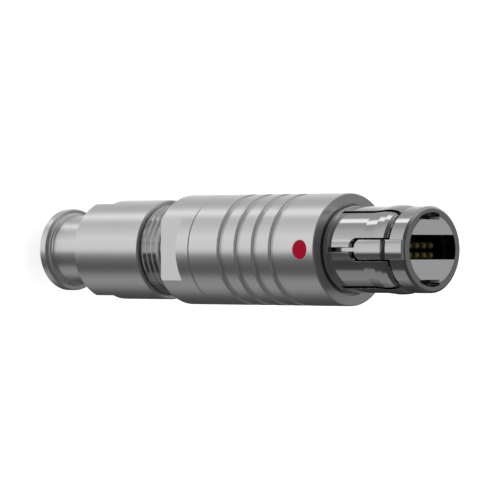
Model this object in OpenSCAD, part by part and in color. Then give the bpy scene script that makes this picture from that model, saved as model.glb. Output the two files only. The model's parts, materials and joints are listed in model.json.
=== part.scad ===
// Circular push-pull plug with a latch sleeve, a keyed nose and a screwed cable clamp.
// It stands on the rear flange of its back nut: the axis is +Z, the nose is up, and the
// key, the index dot and one of the collar's wrench flats face -Y. Millimetres.

/* [Grip sleeve] */
// Outer diameter of the grip sleeve, which the collar shares
grip_d = 12; // [11.5:0.1:14.5]
// Length of the grip sleeve
grip_l = 18.49; // [16.5:0.01:22.5]
// Wall of the grip sleeve round the latch sleeve's thread
grip_wall = 1.13; // [1:0.01:1.4]
// Wall of the grip sleeve round its rear guide bore
guide_wall = 1.4; // [1.3:0.01:1.7]
// Width of one grip groove
groove_w = 0.94; // [0.7:0.01:1.3]
// Depth of a grip groove
groove_depth = 0.32; // [0.1:0.01:0.5]
// Radius at the floor of a grip groove
groove_round = 0.24; // [0.05:0.01:0.3]
// Distance from groove to groove
groove_pitch = 2.54; // [1.8:0.01:3]
// Number of grip grooves
groove_count = 4; // [1:1:4]
// Middle of the first groove, from the sleeve's rear end
groove_first = 4.82; // [3:0.01:5]
// Chamfer on the two edges that meet in the joint line behind the sleeve
joint_chamfer = 0.08; // [0.02:0.01:0.2]
// Chamfer on the outer edge of the sleeve's front face
front_chamfer = 0.08; // [0.02:0.01:0.3]

/* [Index dot] */
// Diameter of the index dot
dot_d = 2.06; // [1:0.01:2.6]
// Thickness of the index dot at its middle
dot_t = 0.3; // [0.15:0.01:0.5]
// Middle of the dot, from the sleeve's front face
dot_back = 1.95; // [1.3:0.01:2.4]

/* [Latch sleeve] */
// Length of the latch sleeve's screwed collar
latch_thread_l = 6; // [3:0.1:8]
// Depth of the latch sleeve's collar behind the sleeve's front face
latch_inset = 0.35; // [0.1:0.01:1]
// Step from the screwed collar down to the neck in front of it
latch_collar_step = 0.22; // [0.1:0.01:0.4]
// Length of that neck in front of the grip sleeve
latch_neck_l = 0.82; // [0.3:0.01:1.2]
// Chamfered step from the neck down to the fingers
latch_neck_step = 0.09; // [0.05:0.01:0.2]
// How far the fingers reach out of the grip sleeve
latch_out = 8.75; // [7.8:0.01:10.5]
// Wall of the fingers
finger_wall = 0.44; // [0.3:0.01:0.6]
// Number of fingers
finger_count = 6; // [4:2:8]
// Width of the slits between the fingers
slit_w = 0.5; // [0.3:0.01:0.7]
// Height of the latching bump over the fingers
bump_h = 0.15; // [0.05:0.01:0.3]
// Crest of the bump, from the tips
bump_back = 1.65; // [1.3:0.01:1.9]
// Length of the ramp behind the crest
bump_ramp = 1.6; // [0.8:0.01:2.5]
// Chamfer at the tips of the fingers
tip_chamfer = 0.28; // [0.1:0.01:0.3]
// Length of the key window, from the tips
window_l = 5.03; // [4.2:0.01:6]
// Gap beside the key's head in its window
window_side_gap = 0.17; // [0.1:0.01:0.4]
// Radius of the rear corners of the window
window_round = 0.95; // [0.2:0.01:1]

/* [Front shell] */
// Free travel of the grip sleeve, from released to locked
travel = 0.45; // [0.3:0.01:0.55]
// Gap between the finger tips and the front ring, sleeve released
tip_gap = 0.6; // [0.58:0.01:0.9]
// Length of the front ring
ring_l = 2.05; // [1.6:0.01:2.6]
// How far the ring's outside lies under the fingers' outside
ring_drop = 0.02; // [0:0.01:0.1]
// Chamfer on the rim of the front ring
ring_chamfer = 0.25; // [0.1:0.01:0.4]
// Wall of the front ring round its insert plates
ring_wall = 0.92; // [0.8:0.01:1.1]
// Depth of the seat of the insert plates
plate_t = 1.4; // [1:0.1:1.6]
// Room for the fingers to spring in
flex_room = 0.37; // [0.3:0.01:0.45]
// Wall of the inner tube where the fingers spring in
tube_wall = 0.5; // [0.4:0.01:0.7]
// End of the guide land, behind the grip sleeve's front face
land_back = 0.15; // [0:0.01:2]
// Width of the key's head
key_w = 2.1; // [1.5:0.01:2.4]
// Height of the key over the front ring
key_rise = 0.28; // [0.1:0.01:0.4]
// Width of the bevel along each side of the key
key_bevel_w = 0.42; // [0.2:0.01:0.5]
// Drop of that bevel
key_bevel_h = 0.2; // [0.1:0.01:0.3]
// Radius of the rear corners of the key's head
key_round = 0.8; // [0.2:0.01:0.8]
// Gap behind the key's head in its window
key_rear_gap = 0.99; // [0.7:0.01:1.2]
// Length of the groove between the key's head and its nose block
key_groove_l = 0.7; // [0.5:0.01:1]
// Overhang of the key's nose block behind the front ring
key_overhang = 0.3; // [0.1:0.01:0.4]
// Depth of that groove under the front ring's outside
key_groove_drop = 0.24; // [0.1:0.01:0.3]
// Width of the rib behind the key's head
rib_w = 0.42; // [0.25:0.01:0.45]
// Length of that rib
rib_l = 1.86; // [1:0.01:2.3]
// Length of the shell's rear screw
shell_screw_l = 4; // [3:0.1:5]
// Thickness of the shell's flange, which stops the grip sleeve
shell_flange_t = 1; // [0.6:0.1:1.5]

/* [Insert] */
// Middle of the contact slot, towards +X
slot_mid = -0.26; // [-0.4:0.01:0.4]
// Height of the contact slot
slot_h = 2.58; // [2.3:0.01:3.1]
// Wall of the front ring outside the two pockets
pocket_wall = 0.64; // [0.5:0.01:0.75]
// Distance from the axis to the flat side of the pockets
pocket_x = 3.13; // [2.8:0.01:3.4]
// Edge of the pockets on the key's side, from the axis
pocket_near = 2; // [1:0.1:2.2]
// Edge of the pockets on the far side, from the axis
pocket_far = 1.1; // [0.5:0.1:2]
// Length of the insulator
insulator_l = 12.5; // [9:0.1:13]
// Front face of the insulator, from the nose's front face
insulator_back = 5.45; // [4:0.01:7]
// Diameter of a contact pin
pin_d = 0.7; // [0.5:0.01:0.75]
// Tip of a contact pin, from the nose's front face
pin_back = 1.95; // [1:0.01:3]
// Distance between the two rows of pins
row_pitch = 1.02; // [0.9:0.01:1.1]
// Middle of the two rows, from the middle of the slot
row_offset = 0.33; // [0:0.01:0.35]
// Insulator wall beside the outermost pins
pin_side_wall = 0.22; // [0.15:0.01:0.4]
// Diameter of a solder cup
cup_d = 0.8; // [0.7:0.01:0.85]
// Diameter of a solder cup's hole
cup_bore_d = 0.5; // [0.3:0.01:0.55]
// Length of a solder cup
cup_l = 2.4; // [1.5:0.1:3]
// Length of the ring nut that holds the insert
ring_nut_l = 1.6; // [1:0.1:2.5]
// Wall of that ring nut
ring_nut_wall = 0.42; // [0.3:0.01:0.45]

/* [Rear body] */
// Length of the collar
collar_l = 5.17; // [4.3:0.01:6.3]
// Width across the collar's wrench flats
collar_flats = 9.94; // [9.9:0.01:11]
// Length of the collar's wrench flats
collar_flat_l = 3.27; // [2:0.01:4]
// Chamfer on the collar's rear edge
collar_chamfer = 0.18; // [0.05:0.01:0.4]
// Length of the spigot in front of the collar
spigot_l = 5.94; // [5:0.01:8]
// Wall of the spigot round the shell's screw
spigot_wall = 0.63; // [0.5:0.01:0.8]
// Nominal diameter of the clamp thread
thread_d = 10; // [9.4:0.1:12]
// Depth of the clamp thread
thread_depth = 0.46; // [0.4:0.01:0.5]
// Length of thread in sight between the nut and the collar
thread_shown = 3.23; // [2.6:0.01:4]
// Length of thread inside the nut
thread_in_nut = 6.06; // [5.6:0.01:7]
// Length of the thread's run-out groove behind the collar
runout_l = 0.3; // [0.1:0.01:0.5]
// Depth of that groove under the root of the thread
runout_depth = 0.14; // [0.05:0.01:0.25]
// Wall of the threaded shank round the collet
shank_wall = 0.69; // [0.6:0.01:0.9]

/* [Cable clamp] */
// Largest cable diameter, which sets the entry's bore
cable_d = 5.9; // [5:0.1:6]
// Wall of the nut's neck
neck_wall = 0.94; // [0.7:0.01:1.2]
// Length of the nut's neck
neck_l = 5.5; // [4.5:0.1:6.6]
// How far the rear flange stands out of the neck
flange_lip = 0.71; // [0.4:0.01:1]
// Thickness of the rear flange
flange_t = 1.1; // [0.8:0.01:1.4]
// Fillet between the flange and the neck
flange_fillet = 0.35; // [0.1:0.01:0.4]
// Wall of the nut over the thread
nut_wall = 0.5; // [0.4:0.01:0.8]
// Length of the nut's body
nut_l = 10.06; // [9.5:0.01:12]
// Thickness of the floor inside the nut, in front of its neck
nut_floor = 1; // [0.8:0.1:1.5]
// Width across the nut's wrench flats
nut_flats = 10.2; // [10:0.01:10.8]
// Length of the nut's wrench flats
nut_flat_l = 2.8; // [2:0.01:3.2]
// Thickness of the thrust washer
washer_t = 0.8; // [0.5:0.1:1]
// Thickness of the collet's rim
collet_rim_t = 1; // [0.6:0.1:1.2]
// Length of the collet's barrel in front of its rim
collet_l = 7; // [5:0.1:8]
// Length of the cone that closes the collet's jaws
cone_l = 1.2; // [0.8:0.1:2]
// Depth of that cone
cone_depth = 0.6; // [0.4:0.01:0.7]
// Number of jaws of the collet
jaw_count = 4; // [3:1:6]
// Width of the slots between the jaws
jaw_slot = 0.6; // [0.3:0.01:0.8]

/* [Fits] */
// Radial running clearance of the grip sleeve on its guides
slide_fit = 0.05; // [0.02:0.01:0.09]
// Radial running clearance of the nut's thread and of the collet
screw_fit = 0.06; // [0.02:0.01:0.09]
// Radial clearance between pieces that are assembled and stay
seat_fit = 0.02; // [0.01:0.01:0.04]
// Axial clearance left at the end of the grip sleeve's travel
stop_fit = 0.05; // [0.03:0.01:0.1]

/* [Hidden] */
$fn = 96;
cut = 1;

// Stations along the axis, from the rear flange to the nose
z_neck = flange_t;
z_nut = z_neck + neck_l;
z_nut_front = z_nut + nut_l;
z_collar = z_nut_front + thread_shown;
z_grip = z_collar + collar_l;
z_grip_front = z_grip + grip_l;
z_slit = z_grip_front + latch_neck_l;
z_tip = z_grip_front + latch_out;
z_ring = z_tip + tip_gap;
z_front = z_ring + ring_l;
z_shank = z_nut_front - thread_in_nut;
z_flange = z_grip + spigot_l;
z_window = z_tip - window_l;
z_key_head = z_window + key_rear_gap;
z_key_nose = z_ring - key_overhang;
z_seat = z_front - plate_t;
z_insulator = z_front - insulator_back - insulator_l;

// Radii from the grip sleeve inwards
grip_r = grip_d / 2;
latch_collar_r = grip_r - grip_wall;
latch_neck_r = latch_collar_r - latch_collar_step;
finger_r = latch_neck_r - latch_neck_step;
finger_bore_r = finger_r - finger_wall;
land_r = finger_bore_r - slide_fit;
tube_r = finger_bore_r - flex_room;
shell_bore_r = tube_r - tube_wall;
insert_r = shell_bore_r - slide_fit;
ring_r = finger_r - ring_drop;
plate_seat_r = ring_r - ring_wall;
pocket_r = ring_r - pocket_wall;
guide_bore_r = grip_r - guide_wall;
spigot_r = guide_bore_r - slide_fit;
spigot_bore_r = spigot_r - spigot_wall;
shell_screw_r = spigot_bore_r - seat_fit;
shell_flange_r = latch_collar_r - slide_fit - seat_fit;
key_r = ring_r + key_rise;
window_w = key_w + 2 * window_side_gap;

// Radii of the clamp, from its thread
thread_r = thread_d / 2;
thread_root_r = thread_r - thread_depth;
nut_r = thread_r + nut_wall;
nut_bore_r = thread_root_r + screw_fit;
entry_r = cable_d / 2;
neck_r = entry_r + neck_wall;
flange_r = neck_r + flange_lip;
shank_bore_r = thread_root_r - shank_wall;
collet_r = shank_bore_r - screw_fit;
rim_r = nut_bore_r - 2 * screw_fit;
z_washer = z_nut + nut_floor;
z_collet = z_washer + washer_t;
z_jaws = z_collet + collet_rim_t;
z_jaws_front = z_jaws + collet_l;
throat_r = shank_bore_r - cone_depth;

// Contact rows
pins_per_row = 5;
slot_low = slot_mid - slot_h / 2;
slot_high = slot_mid + slot_h / 2;
row_x = [for (side = [-1, 1]) slot_mid + row_offset + side * row_pitch / 2];
slot_side = max(abs(slot_low), abs(slot_high));
slot_half_w = sqrt(insert_r * insert_r - slot_side * slot_side);
pin_pitch = 2 * (slot_half_w - pin_side_wall - pin_d / 2) / (pins_per_row - 1);

// Turns an outline of [radius, height] points about the axis
module turned(outline) {
    rotate_extrude() polygon(outline);
}

// Bore from z0 to z1, without the skin that a flush cut would leave
module bore(r, z0, z1) {
    translate([0, 0, z0]) cylinder(r = r, h = z1 - z0);
}

// Cuts both sides of a round body flat along one axis, between z0 and z1
module flats(across, z0, z1, r, turn) {
    rotate([0, 0, turn])
        for (side = [0, 180])
            rotate([0, 0, side])
                translate([across / 2, -2 * r, z0])
                    cube([r, 4 * r, z1 - z0]);
}

// Extrudes an outline drawn in [x, z] from the axis out to -Y
module towards_key(reach) {
    rotate([90, 0, 0]) linear_extrude(height = reach) children();
}

// Outline in [x, z] with round corners at its rear end
module round_tail(w, z0, z1, r) {
    translate([-w / 2, z0 + r]) square([w, z1 - z0 - r]);
    translate([-w / 2 + r, z0]) square([w - 2 * r, 2 * r]);
    for (side = [-1, 1])
        translate([side * (w / 2 - r), z0 + r]) circle(r = r);
}

// One grip groove as a turned cut with rounded floor corners
module grip_groove(z_mid) {
    translate([0, 0, z_mid]) rotate_extrude() {
        translate([grip_r - groove_depth + groove_round, -groove_w / 2])
            square([groove_depth + cut, groove_w]);
        translate([grip_r - groove_depth, -groove_w / 2 + groove_round])
            square([groove_depth + cut, groove_w - 2 * groove_round]);
        for (side = [-1, 1])
            translate([grip_r - groove_depth + groove_round, side * (groove_w / 2 - groove_round)])
                circle(r = groove_round);
    }
}

// Round pocket that the index dot fills, open to -Y
module dot_space(r, floor_y) {
    translate([0, -floor_y, z_grip_front - dot_back])
        rotate([90, 0, 0]) cylinder(r = r, h = cut);
}

module grip_sleeve() {
    color([0.70, 0.70, 0.69]) difference() {
        turned([
            [guide_bore_r, z_grip],
            [grip_r - joint_chamfer, z_grip],
            [grip_r, z_grip + joint_chamfer],
            [grip_r, z_grip_front - front_chamfer],
            [grip_r - front_chamfer, z_grip_front],
            [latch_collar_r, z_grip_front],
            [latch_collar_r, z_flange - travel - stop_fit],
            [guide_bore_r, z_flange - travel - stop_fit]
        ]);
        for (i = [0 : groove_count - 1])
            grip_groove(z_grip + groove_first + i * groove_pitch);
        dot_space(dot_d / 2, grip_r - dot_t);
    }
}

module index_dot() {
    color([0.62, 0.02, 0.12]) intersection() {
        dot_space(dot_d / 2 - seat_fit, grip_r - dot_t);
        bore(grip_r, z_grip, z_grip_front);
    }
}

// Outside of the fingers: neck step, cylinder, ramp, crest and chamfered tip
module finger_band() {
    z_crest = z_tip - bump_back;
    crest_r = finger_r + bump_h;
    turned([
        [finger_bore_r, z_grip_front - latch_inset - latch_thread_l],
        [latch_collar_r, z_grip_front - latch_inset - latch_thread_l],
        [latch_collar_r, z_grip_front - latch_inset],
        [latch_neck_r, z_grip_front - latch_inset],
        [latch_neck_r, z_slit - latch_neck_step],
        [finger_r, z_slit],
        [finger_r, z_crest - bump_ramp],
        [finger_r + 0.6 * bump_h, z_crest - 0.4 * bump_ramp],
        [crest_r, z_crest],
        [crest_r - 0.2 * bump_h, (z_crest + z_tip) / 2],
        [crest_r - bump_h, z_tip - tip_chamfer],
        [crest_r - bump_h - tip_chamfer, z_tip],
        [finger_bore_r, z_tip]
    ]);
}

module latch_sleeve() {
    slit_step = 360 / finger_count;
    color([0.80, 0.80, 0.80]) difference() {
        finger_band();
        for (i = [0 : finger_count - 1])
            rotate([0, 0, i * slit_step])
                towards_key(grip_r)
                    translate([-slit_w / 2, z_slit]) square([slit_w, latch_out]);
        towards_key(grip_r)
            round_tail(window_w, z_window, z_tip + cut, window_round);
    }
}

// Section of the key across the axis: a crown with a bevel along each side
module key_section() {
    polygon([
        [-key_w / 2, 0], [-key_w / 2, -key_r + key_bevel_h],
        [-key_w / 2 + key_bevel_w, -key_r - cut], [key_w / 2 - key_bevel_w, -key_r - cut],
        [key_w / 2, -key_r + key_bevel_h], [key_w / 2, 0]
    ]);
}

// A length of key of width w on the inner tube, up to radius r, with round rear corners
module key_part(w, z0, z1, r, tail) {
    intersection() {
        difference() {
            bore(r, z0, z1);
            bore(tube_r - tube_wall / 2, z0 - cut, z1 + cut);
        }
        towards_key(grip_r) round_tail(w, z0, z1 + cut, tail);
    }
}

// Rib, head, groove and nose block of the key
module key() {
    corner = 0.12;
    key_part(rib_w, z_key_head - rib_l, z_key_head + key_round, finger_r, corner);
    intersection() {
        union() {
            key_part(key_w, z_key_head, z_key_nose - key_groove_l, key_r, key_round);
            key_part(key_w, z_key_head + key_round, z_ring, ring_r - key_groove_drop, corner);
            key_part(key_w, z_key_nose, z_front - ring_chamfer / 2, key_r, corner);
        }
        linear_extrude(height = z_front) key_section();
    }
}

// The two pockets beside the insert plates at the nose, cut in plates and ring alike
module pocket_space() {
    intersection() {
        bore(pocket_r, z_seat, z_front + cut);
        for (side = [-1, 1])
            translate([side < 0 ? -grip_r - pocket_x : pocket_x, -pocket_near, z_seat])
                cube([grip_r, pocket_near + pocket_far, 2 * plate_t]);
    }
}

module front_shell() {
    z_screw = z_flange - shell_screw_l;
    z_land = z_grip_front - land_back;
    color([0.80, 0.80, 0.80]) difference() {
        union() {
            turned([
                [shell_bore_r, z_screw],
                [shell_screw_r, z_screw],
                [shell_screw_r, z_flange],
                [shell_flange_r, z_flange],
                [shell_flange_r, z_flange + shell_flange_t],
                [land_r, z_flange + shell_flange_t],
                [land_r, z_land],
                [tube_r, z_land + land_r - tube_r],
                [tube_r, z_ring],
                [ring_r, z_ring],
                [ring_r, z_front - ring_chamfer],
                [ring_r - ring_chamfer, z_front],
                [plate_seat_r, z_front],
                [plate_seat_r, z_seat],
                [shell_bore_r, z_seat]
            ]);
            key();
        }
        pocket_space();
    }
}

module rear_body() {
    z_screw = z_flange - shell_screw_l;
    z_cone = z_jaws_front - cone_l;
    color([0.70, 0.70, 0.69]) difference() {
        turned([
            [shank_bore_r, z_shank],
            [thread_root_r, z_shank],
            [thread_root_r, z_collar - runout_l],
            [thread_root_r - runout_depth, z_collar - runout_l],
            [thread_root_r - runout_depth, z_collar],
            [grip_r - collar_chamfer, z_collar],
            [grip_r, z_collar + collar_chamfer],
            [grip_r, z_grip - joint_chamfer],
            [grip_r - joint_chamfer, z_grip],
            [spigot_r, z_grip],
            [spigot_r, z_flange],
            [spigot_bore_r, z_flange],
            [spigot_bore_r, z_screw],
            [throat_r, z_screw],
            [throat_r, z_jaws_front],
            [shank_bore_r, z_cone]
        ]);
        flats(collar_flats, z_collar - cut, z_collar + collar_flat_l, grip_r, 90);
    }
}

// Half of the insert's metal carrier: a D-shaped bar with a wider plate at the nose.
// side is -1 for the half at -X and 1 for the half at +X.
module half_shell(side, face_x) {
    difference() {
        intersection() {
            union() {
                bore(insert_r, z_insulator, z_front);
                bore(plate_seat_r - seat_fit, z_seat, z_front);
            }
            translate([side < 0 ? face_x - grip_r : face_x, -grip_r, z_insulator - cut])
                cube([grip_r, 2 * grip_r, z_front - z_insulator + 2 * cut]);
        }
        pocket_space();
    }
}

module upper_half_shell() {
    color([0.72, 0.72, 0.71]) half_shell(-1, slot_low);
}

module lower_half_shell() {
    color([0.72, 0.72, 0.71]) half_shell(1, slot_high);
}

// Place of contact pin i: row by row, each row from -Y to +Y
function pin_place(i) = [
    row_x[floor(i / pins_per_row)],
    (i % pins_per_row - (pins_per_row - 1) / 2) * pin_pitch
];

module insulator() {
    color([0.82, 0.76, 0.62]) difference() {
        intersection() {
            bore(insert_r, z_insulator, z_insulator + insulator_l);
            translate([slot_low, -grip_r, z_insulator])
                cube([slot_h, 2 * grip_r, insulator_l]);
        }
        for (i = [0 : 2 * pins_per_row - 1])
            translate(pin_place(i)) bore(pin_d / 2 + seat_fit, z_insulator - cut, z_front);
    }
}

// A turned contact: round-nosed pin, shaft through the insulator and solder cup
module contact_pin(i) {
    z_pin_tip = z_front - pin_back;
    color([0.86, 0.68, 0.30]) translate(pin_place(i)) difference() {
        union() {
            bore(pin_d / 2, z_insulator, z_pin_tip - pin_d / 2);
            translate([0, 0, z_pin_tip - pin_d / 2]) sphere(r = pin_d / 2);
            bore(cup_d / 2, z_insulator - cup_l, z_insulator);
        }
        bore(cup_bore_d / 2, z_insulator - cup_l - cut, z_insulator - cup_l / 3);
        translate([-cup_d, 0, z_insulator - cup_l - cut])
            cube([2 * cup_d, cup_d, cup_l / 2 + cut]);
    }
}

// Ring nut behind the insert, with two spanner slots in its rear face
module insert_ring_nut() {
    slot_depth = ring_nut_l / 3;
    color([0.75, 0.70, 0.52]) difference() {
        bore(insert_r, z_insulator - ring_nut_l, z_insulator);
        bore(insert_r - ring_nut_wall, z_insulator - ring_nut_l - cut, z_insulator + cut);
        translate([0, 0, z_insulator - ring_nut_l])
            cube([2 * grip_r, 2 * ring_nut_wall, 2 * slot_depth], center = true);
    }
}

module collet() {
    tooth_h = 0.15;
    tooth_pitch = 1;
    color([0.75, 0.70, 0.52]) difference() {
        turned([
            [entry_r, z_collet],
            [rim_r, z_collet],
            [rim_r, z_jaws],
            [collet_r, z_jaws],
            [collet_r, z_jaws_front - cone_l - screw_fit],
            [collet_r - cone_depth, z_jaws_front - screw_fit],
            [entry_r, z_jaws_front - screw_fit]
        ]);
        // gripping grooves inside the jaws
        for (z = [z_jaws + 2 * tooth_pitch : tooth_pitch : z_jaws_front - tooth_pitch])
            turned([
                [entry_r - cut, z - tooth_pitch / 2],
                [entry_r, z - tooth_h],
                [entry_r + tooth_h, z],
                [entry_r, z + tooth_h],
                [entry_r - cut, z + tooth_pitch / 2]
            ]);
        for (i = [0 : jaw_count - 1])
            rotate([0, 0, (i + 0.5) * 360 / jaw_count])
                translate([0, -jaw_slot / 2, z_jaws + collet_rim_t])
                    cube([grip_r, jaw_slot, collet_l]);
    }
}

module thrust_washer() {
    color([0.62, 0.62, 0.60]) difference() {
        bore(rim_r, z_washer, z_collet);
        bore(entry_r, z_washer - cut, z_collet + cut);
    }
}

module back_nut() {
    edge = 0.12;
    mouth = 0.3;
    lead_in = thread_r + screw_fit - nut_bore_r;
    color([0.70, 0.70, 0.69]) difference() {
        turned([
            [entry_r + mouth, 0],
            [flange_r - edge, 0],
            [flange_r, edge],
            [flange_r, z_neck - edge],
            [flange_r - edge, z_neck],
            [neck_r, z_neck],
            [neck_r, z_nut],
            [nut_r - edge, z_nut],
            [nut_r, z_nut + edge],
            [nut_r, z_nut_front - edge],
            [nut_r - edge, z_nut_front],
            [nut_bore_r + lead_in, z_nut_front],
            [nut_bore_r, z_nut_front - lead_in],
            [nut_bore_r, z_washer],
            [entry_r, z_washer],
            [entry_r, mouth]
        ]);
        flats(nut_flats, z_nut - cut, z_nut + nut_flat_l, nut_r, 0);
    }
    // fillet from the flange to the neck
    color([0.70, 0.70, 0.69]) rotate_extrude() difference() {
        translate([neck_r - edge, z_neck - edge]) square(flange_fillet + edge);
        translate([neck_r + flange_fillet, z_neck + flange_fillet]) circle(r = flange_fillet);
    }
}

grip_sleeve();
index_dot();
latch_sleeve();
front_shell();
rear_body();
upper_half_shell();
lower_half_shell();
insulator();
insert_ring_nut();
contact_pin(0);  // contact_pin_1
contact_pin(1);  // contact_pin_2
contact_pin(2);  // contact_pin_3
contact_pin(3);  // contact_pin_4
contact_pin(4);  // contact_pin_5
contact_pin(5);  // contact_pin_6
contact_pin(6);  // contact_pin_7
contact_pin(7);  // contact_pin_8
contact_pin(8);  // contact_pin_9
contact_pin(9);  // contact_pin_10
collet();
thrust_washer();
back_nut();
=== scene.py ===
"""Looks of the push-pull plug: materials for its CAD pieces, the clamp thread, the studio and the camera.

The plug stands on its rear flange, with its axis along +Z and its key towards -Y. All lengths are in metres.
"""

import json
import math

import bpy
from mathutils import Matrix, Vector


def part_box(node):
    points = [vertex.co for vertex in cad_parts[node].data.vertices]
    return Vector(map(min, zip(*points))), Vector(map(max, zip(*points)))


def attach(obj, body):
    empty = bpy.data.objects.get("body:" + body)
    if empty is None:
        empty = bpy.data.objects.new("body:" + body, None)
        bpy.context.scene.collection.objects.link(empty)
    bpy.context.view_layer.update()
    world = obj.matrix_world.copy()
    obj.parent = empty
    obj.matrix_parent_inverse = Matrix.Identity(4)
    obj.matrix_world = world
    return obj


MM = 0.001

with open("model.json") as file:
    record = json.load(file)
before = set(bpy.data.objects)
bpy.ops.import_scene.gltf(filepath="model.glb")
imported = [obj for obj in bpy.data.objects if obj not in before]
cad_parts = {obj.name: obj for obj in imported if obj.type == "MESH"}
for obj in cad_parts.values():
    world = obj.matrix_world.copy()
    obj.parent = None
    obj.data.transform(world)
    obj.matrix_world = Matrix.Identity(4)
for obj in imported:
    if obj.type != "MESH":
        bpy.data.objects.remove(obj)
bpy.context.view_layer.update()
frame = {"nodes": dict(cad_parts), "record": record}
nodes = frame["nodes"]

# ---------------------------------------------------------------- camera

AXIS_ANGLE = math.radians(46.0)  # between the view direction and the plug's axis
TARGET = Vector((0.035, 0.0, 28.61)) * MM
DISTANCE = 419 * MM
LENS = 278.0
SENSOR = 36.0
CLIP_START = 10 * MM


def place_camera():
    """The plug lies across the picture with its nose towards the viewer, so the camera's up is -X."""
    right = Vector((0, math.cos(AXIS_ANGLE), math.sin(AXIS_ANGLE)))
    up = Vector((-1, 0, 0))
    back = right.cross(up)
    camera = bpy.data.objects.new("camera", bpy.data.cameras.new("camera"))
    camera.data.lens = LENS
    camera.data.sensor_width = SENSOR
    camera.data.clip_start = CLIP_START
    camera.matrix_world = Matrix.Translation(TARGET + DISTANCE * back) @ Matrix(
        (right, up, back)
    ).transposed().to_4x4()
    bpy.context.scene.collection.objects.link(camera)
    bpy.context.scene.camera = camera


# ---------------------------------------------------------------- node helpers

# The sockets of a Mix node that carry colours, which share their names with the others.
MIX_FACTOR, MIX_A, MIX_B, MIX_RESULT = 0, 6, 7, 2


def new_tree(owner):
    """The node tree of a material or world, emptied."""
    owner.use_nodes = True
    tree = owner.node_tree
    tree.nodes.clear()
    return tree


def add(tree, kind, inputs=None, **settings):
    """A node with its settings and its unlinked or linked inputs."""
    node = tree.nodes.new(kind)
    for name, value in settings.items():
        setattr(node, name, value)
    for name, value in (inputs or {}).items():
        socket = node.inputs[name]
        if isinstance(value, bpy.types.NodeSocket):
            tree.links.new(value, socket)
        else:
            socket.default_value = value
    return node


def maths(tree, operation, a, b=None, clamp=False):
    """The result of one Math node."""
    inputs = {0: a} if b is None else {0: a, 1: b}
    return add(tree, "ShaderNodeMath", inputs, operation=operation, use_clamp=clamp).outputs[0]


def mix_colors(tree, factor, a, b, blend_type="MIX"):
    """The result of one Mix node on two colours."""
    inputs = {MIX_FACTOR: factor, MIX_A: a, MIX_B: b}
    node = add(tree, "ShaderNodeMix", inputs, data_type="RGBA", blend_type=blend_type)
    return node.outputs[MIX_RESULT]


def ramp(tree, factor, stops):
    """A smooth colour ramp over (position, grey) stops."""
    node = add(tree, "ShaderNodeValToRGB", {"Fac": factor})
    node.color_ramp.interpolation = "EASE"
    elements = node.color_ramp.elements
    while len(elements) > 1:
        elements.remove(elements[-1])
    for i, (position, grey) in enumerate(stops):
        element = elements[0] if i == 0 else elements.new(position)
        element.position = position
        element.color = (grey, grey, grey, 1)
    return node.outputs["Color"]


# ---------------------------------------------------------------- studio

# What the metal reflects, round the plug's axis: degrees from the key's side towards -X, and level.
# LOW_BANDS lie in the lower half of the studio, HIGH_BANDS in the upper, FOOT_BANDS straight down.
LOW_BANDS = (
    (-180, 0.02),
    (-150, 0.04),
    (-118, 0.06),
    (-98, 0.22),
    (-86, 0.34),
    (-62, 0.32),
    (-52, 0.08),
    (-34, 0.07),
    (-24, 0.14),
    (-12, 0.10),
    (-3, 0.90),
    (12, 0.84),
    (18, 0.60),
    (24, 1.05),
    (31, 0.78),
    (44, 0.68),
    (70, 0.46),
    (75, 0.54),
    (79, 1.50),
    (87, 1.40),
    (93, 0.50),
    (110, 0.45),
    (128, 0.58),
    (145, 0.76),
    (160, 0.96),
    (174, 1.00),
    (180, 0.10),
)
HIGH_BANDS = (
    (-180, 0.20),
    (-160, 0.16),
    (-125, 0.08),
    (-60, 0.06),
    (0, 0.05),
    (60, 0.10),
    (100, 0.50),
    (135, 0.62),
    (155, 0.32),
    (180, 0.20),
)
FOOT_BANDS = (
    (-180, 0.30),
    (-90, 0.20),
    (-30, 0.50),
    (20, 1.20),
    (120, 1.20),
    (160, 0.60),
    (180, 0.30),
)
OVERHEAD = 0.30  # level straight up
# Heights, as the direction's z, over which one zone gives way to the next going up.
FOOT_TO_LOW = (-0.95, -0.85)
LOW_TO_HIGH = (-0.2, 0.2)
HIGH_TO_OVERHEAD = (0.75, 0.95)
FILL = 0.85  # level of the plain light that matt surfaces gather
WHITE = (1, 1, 1, 1)

FLOOR_Z = -5.3 * MM  # clear of the back nut at the end of its travel
FLOOR_HALF = 3.0
FLOOR_GREY = 0.8
FLOOR_GLOW = 0.45  # lifts the floor to a pale tone for the camera alone

LAMP_SIZE = 0.5
LAMP_WATTS = 1.2
LAMP_PLACE = (-0.25, -0.35, 0.7)


def mirror_rays(path):
    """1 for the rays that metal sends out, from a Light Path node's outputs."""
    tree = path["Is Glossy Ray"].id_data
    return maths(tree, "ADD", path["Is Glossy Ray"], path["Is Transmission Ray"], clamp=True)


def bands(tree, turn, stops):
    """A ramp over (degrees, level) stops, where turn runs from 0 to 1 over -180 to 180 degrees."""
    return ramp(tree, turn, [((degrees + 180) / 360, level) for degrees, level in stops])


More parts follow.
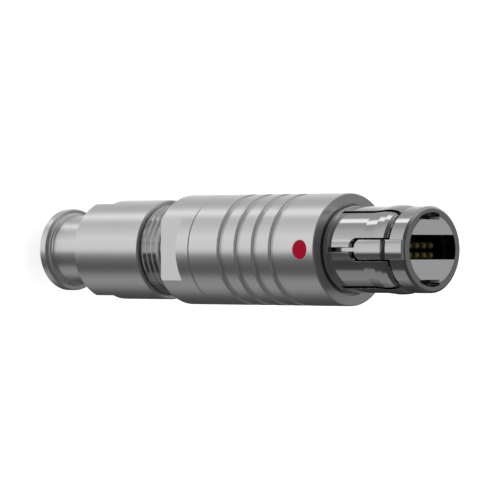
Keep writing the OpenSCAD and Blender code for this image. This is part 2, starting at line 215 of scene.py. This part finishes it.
def studio_world():
    """White to the camera, plain to matt surfaces, and a studio of cards and flags to metal."""
    world = bpy.data.worlds.new("studio")
    bpy.context.scene.world = world
    tree = new_tree(world)
    direction = add(tree, "ShaderNodeTexCoord").outputs["Generated"]
    xyz = add(tree, "ShaderNodeSeparateXYZ", {0: direction}).outputs
    towards_key = maths(tree, "MULTIPLY", xyz[1], -1)
    angle = maths(tree, "ARCTAN2", maths(tree, "MULTIPLY", xyz[0], -1), towards_key)
    turn = maths(tree, "ADD", maths(tree, "DIVIDE", angle, math.tau), 0.5)
    studio = bands(tree, turn, FOOT_BANDS)
    for (start, end), zone in (
        (FOOT_TO_LOW, bands(tree, turn, LOW_BANDS)),
        (LOW_TO_HIGH, bands(tree, turn, HIGH_BANDS)),
        (HIGH_TO_OVERHEAD, (OVERHEAD, OVERHEAD, OVERHEAD, 1)),
    ):
        height = add(
            tree, "ShaderNodeMapRange", {"Value": xyz[2], "From Min": start, "From Max": end},
            interpolation_type="SMOOTHSTEP",
        ).outputs["Result"]
        studio = mix_colors(tree, height, studio, zone)
    path = add(tree, "ShaderNodeLightPath").outputs
    cards = add(tree, "ShaderNodeBackground", {"Color": studio, "Strength": 1.0}).outputs[0]
    plain = add(tree, "ShaderNodeBackground", {"Color": WHITE, "Strength": FILL}).outputs[0]
    white = add(tree, "ShaderNodeBackground", {"Color": WHITE, "Strength": 1.0}).outputs[0]
    light = add(
        tree, "ShaderNodeMixShader", {0: mirror_rays(path), 1: plain, 2: cards}
    ).outputs[0]
    seen = add(tree, "ShaderNodeMixShader", {0: path["Is Camera Ray"], 1: light, 2: white}).outputs[0]
    add(tree, "ShaderNodeOutputWorld", {"Surface": seen})


def floor():
    """A large pale floor. Metal looks through it to the studio's cards and flags."""
    mesh = bpy.data.meshes.new("floor")
    signs = ((-1, -1), (1, -1), (1, 1), (-1, 1))
    corners = [(x * FLOOR_HALF, y * FLOOR_HALF, FLOOR_Z) for x, y in signs]
    mesh.from_pydata(corners, [], [(0, 1, 2, 3)])
    piece = bpy.data.objects.new("floor", mesh)
    bpy.context.scene.collection.objects.link(piece)
    material = bpy.data.materials.new("floor")
    tree = new_tree(material)
    path = add(tree, "ShaderNodeLightPath").outputs
    grey = (FLOOR_GREY, FLOOR_GREY, FLOOR_GREY, 1)
    matt = add(tree, "ShaderNodeBsdfDiffuse", {"Color": grey}).outputs[0]
    glow = add(
        tree, "ShaderNodeEmission",
        {"Color": WHITE, "Strength": maths(tree, "MULTIPLY", path["Is Camera Ray"], FLOOR_GLOW)},
    ).outputs[0]
    pale = add(tree, "ShaderNodeAddShader", {0: matt, 1: glow}).outputs[0]
    clear = add(tree, "ShaderNodeBsdfTransparent").outputs[0]
    surface = add(
        tree, "ShaderNodeMixShader", {0: mirror_rays(path), 1: pale, 2: clear}
    ).outputs[0]
    add(tree, "ShaderNodeOutputMaterial", {"Surface": surface})
    mesh.materials.append(material)


def soft_light():
    """One large soft lamp high on the key's side, for a gentle shadow."""
    lamp = bpy.data.lights.new("soft_light", "AREA")
    lamp.shape = "DISK"
    lamp.size = LAMP_SIZE
    lamp.energy = LAMP_WATTS
    piece = bpy.data.objects.new("soft_light", lamp)
    piece.location = Vector(LAMP_PLACE)
    piece.rotation_euler = (-piece.location).to_track_quat("-Z", "Y").to_euler()
    piece.visible_glossy = False
    bpy.context.scene.collection.objects.link(piece)


# ---------------------------------------------------------------- materials

RINGS_PER_MM = 12
RING_LENGTH = 4  # how slowly a ring changes along its way round, in noise cells per metre
CLOUD_SCALE = 900.0  # noise cells per metre, for the uneven gloss
GRAIN_SCALE = 2500.0  # noise cells per metre, for the resin's mottle
GRAIN_DEPTH = 0.004 * MM
PLASTIC_EDGE = 0.05 * MM
MOTTLE = ((0.3, 0.92), (0.7, 1.0))


def bevelled_normal(tree, radius):
    """Rounds the shading of edges that a machinist would break."""
    return add(tree, "ShaderNodeBevel", {"Radius": radius}, samples=4).outputs[0]


def noise(tree, vector, scale, detail):
    """The grey of one noise texture."""
    inputs = {"Vector": vector, "Scale": scale, "Detail": detail}
    return add(tree, "ShaderNodeTexNoise", inputs).outputs[0]


def turning_marks(tree, position, normal, depth):
    """Fine rings left by the lathe: the bumped normal, and the noise behind it.

    The noise changes along the axis and hardly at all across it.
    """
    stretch = (RING_LENGTH, RING_LENGTH, RINGS_PER_MM / MM)
    along = add(tree, "ShaderNodeMapping", {"Vector": position, "Scale": stretch}).outputs[0]
    rings = noise(tree, along, 1.0, 3.0)
    bump = add(
        tree, "ShaderNodeBump",
        {"Height": rings, "Distance": depth, "Strength": 1.0, "Normal": normal},
    )
    return bump.outputs[0], rings


def metal(name, color, roughness, marks=0.0, spread=0.05, edge=0.04 * MM, shade_radius=0.0, metallic=1.0):
    """Plated or turned metal with lathe rings, uneven gloss and broken edges.

    marks is the rings' depth, spread how far the gloss varies and edge the radius of a broken edge.
    Inside a radius, if one is given, the colour turns dark: painted shade inside the bore.
    """
    material = bpy.data.materials.new(name)
    tree = new_tree(material)
    position = add(tree, "ShaderNodeTexCoord").outputs["Object"]
    normal, rings = turning_marks(tree, position, bevelled_normal(tree, edge), marks)
    cloud = noise(tree, position, CLOUD_SCALE, 4.0)
    wave = maths(tree, "MULTIPLY", maths(tree, "SUBTRACT", cloud, 0.5), spread)
    ring_wave = maths(tree, "MULTIPLY", maths(tree, "SUBTRACT", rings, 0.5), spread)
    rough = maths(tree, "ADD", maths(tree, "ADD", wave, ring_wave), roughness, clamp=True)
    tint = (*color, 1)
    # Painted shade: inside the radius the tint turns dark, standing in for shade deep in the ring's bore.
    if shade_radius:
        across = add(
            tree, "ShaderNodeVectorMath", {0: position, 1: (1, 1, 0)}, operation="MULTIPLY"
        ).outputs[0]
        radius = add(tree, "ShaderNodeVectorMath", {0: across}, operation="LENGTH").outputs["Value"]
        outside = maths(tree, "GREATER_THAN", radius, shade_radius)
        tint = mix_colors(tree, outside, (*BORE_SHADE, 1), (*color, 1))
    shader = add(
        tree, "ShaderNodeBsdfPrincipled",
        {"Base Color": tint, "Metallic": metallic, "Roughness": rough, "Normal": normal},
    ).outputs[0]
    add(tree, "ShaderNodeOutputMaterial", {"Surface": shader})
    return material


def plastic(name, color, roughness, specular=0.5):
    """Moulded resin or enamel with a faint mottle."""
    material = bpy.data.materials.new(name)
    tree = new_tree(material)
    position = add(tree, "ShaderNodeTexCoord").outputs["Object"]
    grain = noise(tree, position, GRAIN_SCALE, 3.0)
    edge_normal = bevelled_normal(tree, PLASTIC_EDGE)
    bump = add(
        tree, "ShaderNodeBump",
        {"Height": grain, "Distance": GRAIN_DEPTH, "Strength": 1.0, "Normal": edge_normal},
    ).outputs[0]
    tint = mix_colors(tree, 1.0, (*color, 1), ramp(tree, grain, MOTTLE), "MULTIPLY")
    shader = add(
        tree, "ShaderNodeBsdfPrincipled",
        {
            "Base Color": tint,
            "Roughness": roughness,
            "Specular IOR Level": specular,
            "Normal": bump,
        },
    ).outputs[0]
    add(tree, "ShaderNodeOutputMaterial", {"Surface": shader})
    return material


BORE_SHADE = (0.10, 0.10, 0.09)  # painted shade: a dark tone inside the front ring's bore, where shade falls
RING_BORE = 3.635 * MM
FINE, COARSE = 0.0001 * MM, 0.0006 * MM  # depths of the lathe's rings

MATERIALS = {
    "satin_chrome": metal(
        "satin_chrome", (0.745, 0.75, 0.75), 0.31, marks=4 * FINE, edge=0.05 * MM
    ),
    # bright_chrome carries painted shade inside the front ring's bore.
    "bright_chrome": metal(
        "bright_chrome", (0.56, 0.56, 0.56), 0.07,
        marks=FINE, spread=0.02, edge=0.06 * MM, shade_radius=RING_BORE,
    ),
    "insert_plate": metal("insert_plate", (0.51, 0.51, 0.515), 0.5, metallic=0.55),
    "index_red": plastic("index_red", (0.36, 0.0005, 0.020), 0.5, specular=0.08),
    "insulator_resin": plastic("insulator_resin", (0.06, 0.055, 0.05), 0.6),
    # contact_gold: gold partly real and partly darkened to olive as painted shade of the deep slot that
    # holds the contacts.
    "contact_gold": metal("contact_gold", (0.27, 0.23, 0.10), 0.5, marks=2 * FINE),
    "bare_brass": metal("bare_brass", (0.72, 0.58, 0.30), 0.30, marks=COARSE),
    "washer_steel": metal("washer_steel", (0.55, 0.55, 0.54), 0.35, marks=COARSE),
}


def dress_nodes():
    """Gives every CAD node the material of its slot in the record."""
    for part in frame["record"]["subparts"]:
        mesh = nodes[part["node"]].data
        mesh.materials.clear()
        mesh.materials.append(MATERIALS[part["material_slot"]])


# ---------------------------------------------------------------- clamp thread

THREAD_R = 5.0 * MM
THREAD_ROOT = 4.54 * MM
PITCH = 0.75 * MM
RUNOUT = 0.3 * MM
COLLAR_GAP = 3.23 * MM  # from the back nut to the collar, where the thread is in sight
THREAD_SLOT = "bright_chrome"
STEPS_PER_TURN = 96
SINK = 0.02 * MM  # how far the ridge's foot goes into the shank
HALF_ROOT, HALF_CREST = 0.30 * MM, 0.05 * MM  # half the ridge's width at its foot and at its crest
SHARP = math.radians(30)


def clamp_thread():
    """The right-hand thread on the rear body's shank: one ridge from its rear end to the run-out."""
    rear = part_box("rear_body")[0].z
    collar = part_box("back_nut")[1].z + COLLAR_GAP
    start, end = rear + 0.5 * PITCH, collar - RUNOUT - 0.35 * PITCH
    steps = int((end - start) / PITCH * STEPS_PER_TURN)
    fade = STEPS_PER_TURN // 4
    foot = THREAD_ROOT - SINK
    points, faces = [], []
    for i in range(steps + 1):
        angle = math.tau * i / STEPS_PER_TURN
        z = start + PITCH * i / STEPS_PER_TURN
        grown = min(1.0, i / fade, (steps - i) / fade)
        crest = THREAD_ROOT + (THREAD_R - THREAD_ROOT) * grown
        section = (foot, -HALF_ROOT), (crest, -HALF_CREST), (crest, HALF_CREST), (foot, HALF_ROOT)
        points += [(r * math.cos(angle), r * math.sin(angle), z + dz) for r, dz in section]
    for i in range(steps):
        a, b = 4 * i, 4 * i + 4
        faces += [(a + k, b + k, b + (k + 1) % 4, a + (k + 1) % 4) for k in range(4)]
    faces += [(3, 2, 1, 0), (4 * steps, 4 * steps + 1, 4 * steps + 2, 4 * steps + 3)]
    mesh = bpy.data.meshes.new("clamp_thread")
    mesh.from_pydata(points, [], faces)
    mesh.validate()
    mesh.shade_smooth()
    mesh.set_sharp_from_angle(angle=SHARP)
    mesh.materials.append(MATERIALS[THREAD_SLOT])
    piece = bpy.data.objects.new("clamp_thread", mesh)
    bpy.context.scene.collection.objects.link(piece)
    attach(piece, "plug_body")


place_camera()
studio_world()
floor()
soft_light()
dress_nodes()
clamp_thread()

bpy.context.scene.view_settings.view_transform = "Standard"
